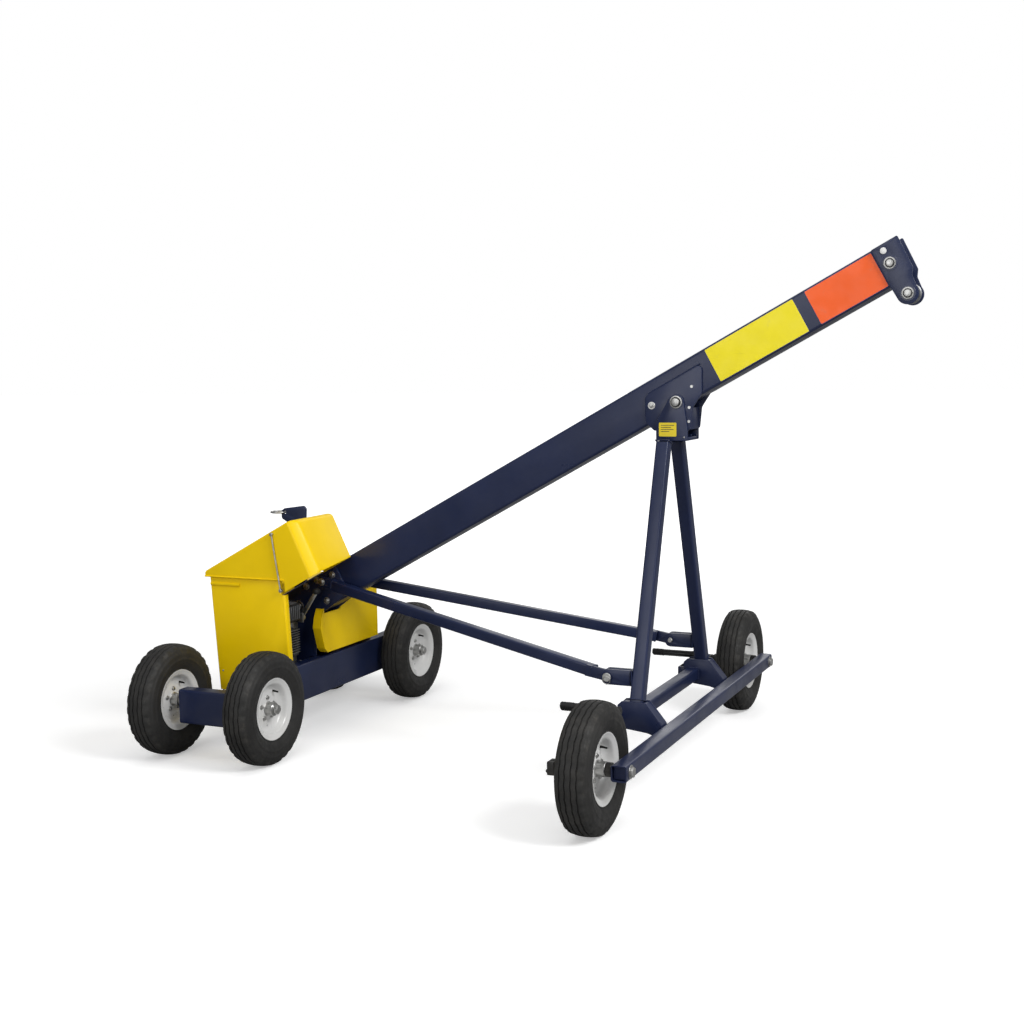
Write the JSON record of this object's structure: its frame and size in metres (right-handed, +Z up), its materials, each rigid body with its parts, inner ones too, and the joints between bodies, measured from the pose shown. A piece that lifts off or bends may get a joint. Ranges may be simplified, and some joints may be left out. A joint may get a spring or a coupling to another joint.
{
  "type": "engine-powered hoist crane",
  "caption": "Engine-powered portable hoist crane: long box boom with head sheaves, folding A-frame on pneumatic wheels, and a wheeled tail carriage with a covered winch and engine.",
  "frame": {"origin": "centre of the whole crane's box at ground level", "axes": "+X from the tail carriage towards the boom head, +Y to the far side, +Z up; the boom lies in the plane Y = 0"},
  "size_m": [2.6395, 2.066, 1.7918],
  "materials": {
    "navy_paint": "satin gloss paint",
    "yellow_coat": "gloss powder coat",
    "tyre_rubber": "matt",
    "rim_paint": "gloss paint",
    "zinc_steel": "zinc plated",
    "black_steel": "satin paint",
    "cast_alloy": "as cast"
  },
  "bodies": {
    "frame": {"aframe_pivot_pin": "zinc_steel", "boom_foot_pin": "zinc_steel", "boom_saddle": "navy_paint", "boom_tube": "navy_paint", "carriage_axle_far": "zinc_steel", "carriage_axle_near": "zinc_steel", "carriage_end_box_far": "navy_paint", "carriage_end_box_near": "navy_paint", "carriage_front_beam": "navy_paint", "carriage_rear_beam": "navy_paint", "deck_plate": "navy_paint", "engine_block": "cast_alloy", "far_cover": "yellow_coat", "fuel_tank": "black_steel", "gearbox": "cast_alloy", "head_pin_lower": "zinc_steel", "head_pin_upper": "zinc_steel", "head_plate_far": "navy_paint", "head_plate_near": "navy_paint", "lifting_post": "navy_paint", "muffler": "black_steel", "near_cover": "yellow_coat", "support_plate_far": "navy_paint", "support_plate_near": "navy_paint"},
    "wheel_front_near": {"tyre_front_near": "tyre_rubber", "rim_front_near": "rim_paint"},
    "wheel_front_far": {"tyre_front_far": "tyre_rubber", "rim_front_far": "rim_paint"},
    "wheel_mid_near": {"tyre_mid_near": "tyre_rubber", "rim_mid_near": "rim_paint"},
    "wheel_mid_far": {"tyre_mid_far": "tyre_rubber", "rim_mid_far": "rim_paint"},
    "wheel_rear_near": {"tyre_rear_near": "tyre_rubber", "rim_rear_near": "rim_paint"},
    "wheel_rear_far": {"tyre_rear_far": "tyre_rubber", "rim_rear_far": "rim_paint"},
    "aframe": {"aframe_head": "navy_paint", "leg_near": "navy_paint", "leg_far": "navy_paint", "rear_crossbar": "navy_paint", "front_crossbar": "navy_paint", "front_axle_near": "black_steel", "front_axle_far": "black_steel", "base_gusset_near": "navy_paint", "base_gusset_far": "navy_paint"},
    "tie_near_body": {"tie_near": "navy_paint"},
    "tie_far_body": {"tie_far": "navy_paint"},
    "tie_pin_near_body": {"tie_pin_near": "zinc_steel"},
    "tie_pin_far_body": {"tie_pin_far": "zinc_steel"},
    "brake_lever_near_body": {"brake_lever_near": "black_steel"},
    "brake_lever_far_body": {"brake_lever_far": "black_steel"},
    "power_hood_body": {"power_hood": "yellow_coat"},
    "lifting_ring_body": {"lifting_ring": "zinc_steel"},
    "clutch_lever_body": {"clutch_lever": "zinc_steel"},
    "sheave_upper_body": {"sheave_upper": "cast_alloy"},
    "sheave_lower_body": {"sheave_lower": "cast_alloy"},
    "drum_body": {"winch_drum": "cast_alloy", "drum_gear": "cast_alloy"},
    "pinion_body": {"drive_pinion": "zinc_steel"}
  },
  "joints": [
    {"name": "wheel_front_near_roll", "type": "hinge", "parent": "aframe", "child": "wheel_front_near", "pos_m": [0.5052, -0.83, 0.203], "axis": [1, 0, 0], "continuous": true},
    {"name": "wheel_front_far_roll", "type": "hinge", "parent": "aframe", "child": "wheel_front_far", "pos_m": [0.5052, 0.83, 0.203], "axis": [1, 0, 0], "continuous": true},
    {"name": "wheel_mid_near_roll", "type": "hinge", "parent": "frame", "child": "wheel_mid_near", "pos_m": [-0.8488, -0.554, 0.203], "axis": [1, 0, 0], "continuous": true},
    {"name": "wheel_mid_far_roll", "type": "hinge", "parent": "frame", "child": "wheel_mid_far", "pos_m": [-0.8488, 0.554, 0.203], "axis": [1, 0, 0], "continuous": true},
    {"name": "wheel_rear_near_roll", "type": "hinge", "parent": "frame", "child": "wheel_rear_near", "pos_m": [-1.2588, -0.554, 0.203], "axis": [1, 0, 0], "continuous": true},
    {"name": "wheel_rear_far_roll", "type": "hinge", "parent": "frame", "child": "wheel_rear_far", "pos_m": [-1.2588, 0.554, 0.203], "axis": [1, 0, 0], "continuous": true},
    {"name": "aframe_fold", "type": "hinge", "parent": "frame", "child": "aframe", "pos_m": [0.5252, 0, 1.27], "axis": [0, -1, 0], "range_deg": [0, 88]},
    {"name": "tie_near_swing", "type": "hinge", "parent": "frame", "child": "tie_near_body", "pos_m": [-0.8948, -0.07, 0.585], "axis": [0, -1, 0], "range_deg": [0, 36]},
    {"name": "tie_far_swing", "type": "hinge", "parent": "frame", "child": "tie_far_body", "pos_m": [-0.8948, 0.07, 0.585], "axis": [0, -1, 0], "range_deg": [0, 36]},
    {"name": "tie_pin_near_pull", "type": "slide", "parent": "aframe", "child": "tie_pin_near_body", "axis": [0, -1, 0], "range_m": [0, 0.04]},
    {"name": "tie_pin_far_pull", "type": "slide", "parent": "aframe", "child": "tie_pin_far_body", "axis": [0, 1, 0], "range_m": [0, 0.04]},
    {"name": "brake_near_swing", "type": "hinge", "parent": "aframe", "child": "brake_lever_near_body", "pos_m": [0.4052, -0.585, 0.245], "axis": [-1, 0, 0], "range_deg": [0, 108]},
    {"name": "brake_far_swing", "type": "hinge", "parent": "aframe", "child": "brake_lever_far_body", "pos_m": [0.4052, 0.585, 0.245], "axis": [-1, 0, 0], "range_deg": [0, 114]},
    {"name": "hood_open", "type": "hinge", "parent": "frame", "child": "power_hood_body", "pos_m": [-1.2418, -0.17, 0.633], "axis": [0, -1, 0], "range_deg": [0, 60]},
    {"name": "lifting_ring_swing", "type": "hinge", "parent": "frame", "child": "lifting_ring_body", "pos_m": [-1.1288, 0.04, 0.836], "axis": [0, 1, 0], "range_deg": [0, 95]},
    {"name": "clutch_lever_rock", "type": "hinge", "parent": "frame", "child": "clutch_lever_body", "pos_m": [-0.9568, -0.13, 0.453], "axis": [0, -1, 0], "range_deg": [-20, 20]},
    {"name": "winch_turn", "type": "hinge", "parent": "frame", "child": "drum_body", "pos_m": [-1.1168, 0, 0.345], "axis": [0, 1, 0], "continuous": true},
    {"name": "pinion_turn", "type": "hinge", "parent": "frame", "child": "pinion_body", "pos_m": [-1.0393, -0.084, 0.385], "axis": [0, 1, 0], "continuous": true},
    {"name": "sheave_upper_turn", "type": "hinge", "parent": "frame", "child": "sheave_upper_body", "pos_m": [1.22887, 0, 1.70656], "axis": [0, 1, 0], "continuous": true},
    {"name": "sheave_lower_turn", "type": "hinge", "parent": "frame", "child": "sheave_lower_body", "pos_m": [1.28563, 0, 1.61039], "axis": [0, 1, 0], "continuous": true}
  ],
  "couplings": [
    {"joint": "pinion_turn", "follows": "winch_turn", "ratio": -2.5833}
  ]
}
